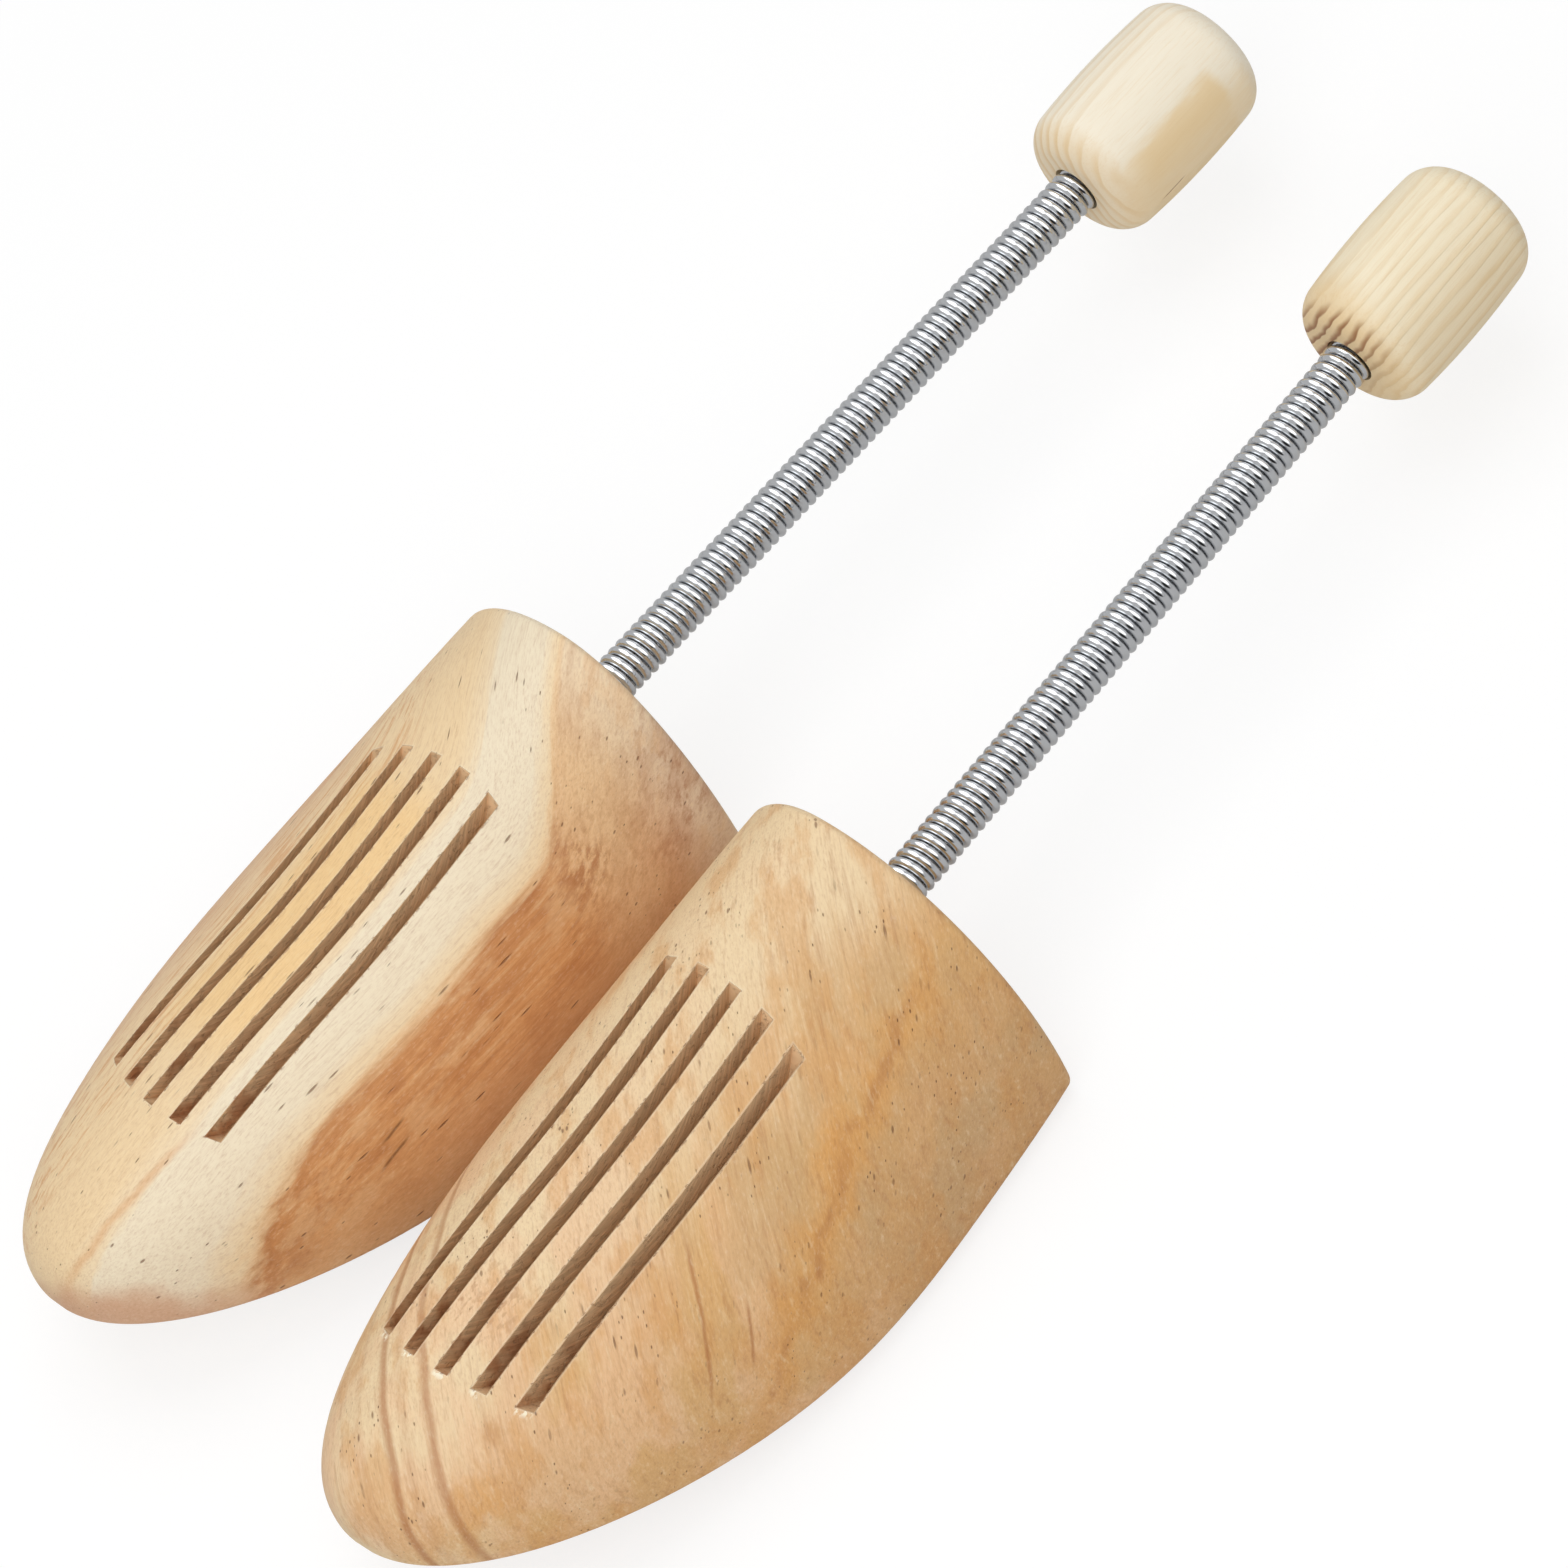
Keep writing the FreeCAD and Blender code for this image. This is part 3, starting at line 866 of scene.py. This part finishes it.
class SHOETREES_OT_pins(bpy.types.Operator):
    """Finishes the core pegs and the nails that hold the springs"""

    bl_idname = "shoetrees.pins"
    bl_label = "Finish Pegs and Nails"

    def execute(self, context):
        sizes = context.scene.shoe_tree_springs
        peg = peg_finish("peg_wood", context.scene.shoe_tree_knobs)
        nail = steel_finish("nail_steel", sizes.nail, sizes.nail_polish)
        for tree in TREES:
            for end in ("toe", "heel"):
                dress("%s_%s_peg" % (tree, end), peg)
                dress("%s_%s_nail" % (tree, end), nail)
        return {"FINISHED"}


def wind_turn(bm, sizes, radius, pitch):
    """One turn of the coil about the Y axis: a circle of wire, spun forwards."""
    lead = math.atan2(pitch, 2 * math.pi * radius)
    section = Matrix.Translation((0, 0, radius)) @ Matrix.Rotation(lead, 4, "Z")
    section = section @ Matrix.Rotation(math.pi / 2, 4, "Y")
    ring = bmesh.ops.create_circle(
        bm, segments=sizes.sides, radius=sizes.wire / 2, matrix=section)
    edges = list({edge for vert in ring["verts"] for edge in vert.link_edges})
    bmesh.ops.spin(
        bm, geom=ring["verts"] + edges, cent=(0, 0, 0), axis=(0, 1, 0),
        dvec=(0, pitch / sizes.steps, 0), angle=2 * math.pi, steps=sizes.steps,
        use_merge=False, use_duplicate=False)


def wind_spring(tree, sizes):
    """Winds one close coil between the floors of its two bores: one turn, repeated."""
    place = TreeFrame(tree)
    node = tree + "_spring"
    start, end = place.along(node, True), place.along(node, False)
    reach = end - start - sizes.wire
    turns = round(reach / sizes.pitch)
    pitch = reach / turns
    bm = bmesh.new()
    wind_turn(bm, sizes, (sizes.coil - sizes.wire) / 2, pitch)
    turn = bm.verts[:] + bm.edges[:] + bm.faces[:]
    for index in range(1, turns):
        copy = bmesh.ops.duplicate(bm, geom=turn)["geom"]
        verts = [item for item in copy if isinstance(item, bmesh.types.BMVert)]
        bmesh.ops.translate(bm, vec=(0, index * pitch, 0), verts=verts)
    bmesh.ops.remove_doubles(bm, verts=bm.verts, dist=sizes.wire / 100)
    ends = [edge for edge in bm.edges if edge.is_boundary]
    bmesh.ops.holes_fill(bm, edges=ends, sides=sizes.sides)
    bmesh.ops.recalc_face_normals(bm, faces=bm.faces)
    bmesh.ops.transform(bm, matrix=place.matrix(start + sizes.wire / 2), verts=bm.verts)
    for face in bm.faces:
        face.smooth = len(face.verts) == 4
    mesh = bpy.data.meshes.new(tree + "_coil_spring")
    bm.to_mesh(mesh)
    bm.free()
    return bpy.data.objects.new(tree + "_coil_spring", mesh)


class SHOETREES_OT_springs(bpy.types.Operator):
    """Winds both springs between block and knob"""

    bl_idname = "shoetrees.springs"
    bl_label = "Wind Springs"

    def execute(self, context):
        sizes = context.scene.shoe_tree_springs
        steel = steel_finish("spring_steel", sizes.steel, sizes.polish)
        for tree in TREES:
            spring = wind_spring(tree, sizes)
            spring.data.materials.append(steel)
            context.scene.collection.objects.link(spring)
            place = TreeFrame(tree)
            near = place.on_axis(place.along(tree + "_toe_block", False))
            far = place.on_axis(place.along(tree + "_heel_knob", True))
            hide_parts(tree + "_spring")
            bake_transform(spring)
        return {"FINISHED"}


# Stage

SENSOR_MM = 36
LAMP_SIDE = 1.0
KEY_PLACE = (-0.25, 0.10, 1.15)
FILL_PLACE = (0.56, -0.61, 1.0)

# Shades of the floor for light that bounces, for the camera and for mirrors, and its own glow.
PAPER_LIT = (0.86, 0.86, 0.86)
PAPER_SEEN = (0.25, 0.25, 0.25)
PAPER_MIRRORED = (0.62, 0.62, 0.62)
PAPER_GLOW = 0.77

# What mirrors see: a pale studio, soft boxes of (direction, edge) in it, and one dim side.
STUDIO_LEVEL = 0.6
BOX_LEVEL = 1.3
BOX_FADE = 0.03
SOFT_BOXES = (((-0.45, 0.36, 0.82), 0.90), ((0.60, 0.36, 0.71), 0.87))
DIM_SIDE = (0.84, -0.50, 0.20)
DIM_START, DIM_END = 0.84, 0.92
DIM_SHARE = 0.95


class StageSizes(bpy.types.PropertyGroup):
    """Camera, lamps and floor."""

    azimuth: angle(63.5, "Azimuth", "Camera direction round the trees")
    elevation: angle(51.1, "Elevation", "Camera height above the horizon")
    roll: angle(26.96, "Roll", "How far the picture is turned")
    distance: length(1500, "Distance", "From the camera to the point it aims at")
    focal: number(201.2, "Focal Length", "Lens in millimetres, on a 36 mm sensor")
    aim_x: length(-15.55, "Aim X", "Where the camera aims, across the trees")
    aim_y: length(3.95, "Aim Y", "Where the camera aims, along the trees")
    floor: length(4000, "Floor", "Half of the floor's side")
    key: number(5.0, "Key Lamp", "Power of the overhead lamp in watts")
    fill: number(6.0, "Fill Lamp", "Power of the lamp on the camera's side in watts")
    sky: number(0.42, "Sky", "Strength of the light from all round")


def floor_finish():
    """White paper that keeps the trees' shadow and reads as white, and as grey in the springs."""
    finish = new_finish("floor_paper")
    seen, mirrored = finish.light_path()
    shades = finish.mix(seen, PAPER_LIT, PAPER_SEEN)
    shades = finish.mix(mirrored, shades, PAPER_MIRRORED)
    paper = finish.add("ShaderNodeBsdfDiffuse", {"Color": shades})
    lift = finish.add("ShaderNodeEmission", {"Strength": finish.times(seen, PAPER_GLOW)})
    both = finish.add("ShaderNodeAddShader", {0: paper.outputs[0], 1: lift.outputs[0]})
    return finish.close(both)


def studio_world(strength):
    """A pale studio all round; in mirrors it has two soft boxes overhead and one dim side."""
    world = Finish(bpy.data.worlds.new("studio"))
    seen, glossy = world.light_path()
    direction = world.add("ShaderNodeTexCoord", {}).outputs["Generated"]
    boxes = STUDIO_LEVEL
    for aim, edge in SOFT_BOXES:
        facing = world.measure("DOT_PRODUCT", direction, Vector(aim).normalized())
        lit = world.ease(facing, edge - BOX_FADE, edge + BOX_FADE)
        boxes = world.plus(world.times(lit, BOX_LEVEL), boxes)
    facing = world.measure("DOT_PRODUCT", direction, Vector(DIM_SIDE).normalized())
    dim = world.ease(facing, DIM_START, DIM_END)
    mirrored = world.times(boxes, world.rest(world.times(dim, DIM_SHARE)))
    level = world.calc("MAXIMUM", seen, world.times(glossy, mirrored))
    soft = world.times(world.rest(world.calc("MAXIMUM", seen, glossy)), strength)
    inputs = {"Color": (1, 1, 1, 1), "Strength": world.plus(level, soft)}
    light = world.add("ShaderNodeBackground", inputs)
    world.add("ShaderNodeOutputWorld", {"Surface": light.outputs[0]})
    return world.made


def add_floor(context, half_side):
    """The sheet of paper under the trees."""
    bm = bmesh.new()
    bmesh.ops.create_grid(bm, x_segments=1, y_segments=1, size=half_side)
    mesh = bpy.data.meshes.new("floor")
    bm.to_mesh(mesh)
    bm.free()
    mesh.materials.append(floor_finish())
    floor = bpy.data.objects.new("floor", mesh)
    context.scene.collection.objects.link(floor)


def add_lamp(context, name, power, place):
    """One square soft lamp that looks at the origin."""
    data = bpy.data.lights.new(name, "AREA")
    data.energy = power
    data.size = LAMP_SIDE
    lamp = bpy.data.objects.new(name, data)
    lamp.location = place
    lamp.rotation_euler = (-Vector(place)).to_track_quat("-Z", "Y").to_euler()
    context.scene.collection.objects.link(lamp)
    return lamp


def add_camera(context, sizes):
    """The camera at the photograph's angle, turned by its roll."""
    turn, tip = sizes.azimuth, sizes.elevation
    right = Vector((math.cos(turn), math.sin(turn), 0))
    level_back = Vector((math.sin(turn), -math.cos(turn), 0))
    back = level_back * math.cos(tip) + Vector((0, 0, math.sin(tip)))
    axes = Matrix((right, back.cross(right), back)).transposed().to_4x4()
    data = bpy.data.cameras.new("camera")
    data.sensor_width = SENSOR_MM
    data.lens = sizes.focal
    data.clip_start = sizes.distance / 100
    data.clip_end = sizes.distance * 100
    camera = bpy.data.objects.new("camera", data)
    aim = Vector((sizes.aim_x, sizes.aim_y, 0))
    place = Matrix.Translation(aim + back * sizes.distance) @ axes
    camera.matrix_world = place @ Matrix.Rotation(-sizes.roll, 4, "Z")
    context.scene.collection.objects.link(camera)
    context.scene.camera = camera


class SHOETREES_OT_stage(bpy.types.Operator):
    """Sets the floor, the light and the camera"""

    bl_idname = "shoetrees.stage"
    bl_label = "Set Stage"

    def execute(self, context):
        sizes = context.scene.shoe_tree_stage
        add_floor(context, sizes.floor)
        add_lamp(context, "key_lamp", sizes.key, KEY_PLACE)
        fill = add_lamp(context, "fill_lamp", sizes.fill, FILL_PLACE)
        fill.visible_glossy = False
        context.scene.world = studio_world(sizes.sky)
        add_camera(context, sizes)
        context.scene.view_settings.view_transform = "Standard"
        return {"FINISHED"}


# Panel and registration

class SHOETREES_PT_panel(bpy.types.Panel):
    """Lists the pieces in the order in which they are made"""

    bl_idname = "SHOETREES_PT_panel"
    bl_label = "Shoe Trees"
    bl_space_type = "VIEW_3D"
    bl_region_type = "UI"
    bl_category = "Shoe Trees"

    def draw(self, context):
        for operator in OPERATORS:
            self.layout.operator(operator.bl_idname)
        for group in GROUPS:
            box = self.layout.box()
            settings = getattr(context.scene, group)
            for name in settings.bl_rna.properties.keys():
                if name not in ("rna_type", "name"):
                    box.prop(settings, name)


GROUPS = {
    "shoe_tree_slots": SlotSizes,
    "shoe_tree_blocks": BlockWood,
    "shoe_tree_knobs": KnobWood,
    "shoe_tree_springs": SpringSizes,
    "shoe_tree_stage": StageSizes,
}
OPERATORS = (
    SHOETREES_OT_blocks,
    SHOETREES_OT_knobs,
    SHOETREES_OT_pins,
    SHOETREES_OT_springs,
    SHOETREES_OT_stage,
)


def register():
    for group, kind in GROUPS.items():
        bpy.utils.register_class(kind)
        setattr(bpy.types.Scene, group, PointerProperty(type=kind))
    for kind in (*OPERATORS, SHOETREES_PT_panel):
        bpy.utils.register_class(kind)


def unregister():
    for kind in (SHOETREES_PT_panel, *reversed(OPERATORS)):
        bpy.utils.unregister_class(kind)
    for group, kind in GROUPS.items():
        delattr(bpy.types.Scene, group)
        bpy.utils.unregister_class(kind)


def main():
    register()
    bpy.ops.shoetrees.blocks()
    bpy.ops.shoetrees.knobs()
    bpy.ops.shoetrees.pins()
    bpy.ops.shoetrees.springs()
    bpy.ops.shoetrees.stage()


if __name__ == "__main__":
    main()
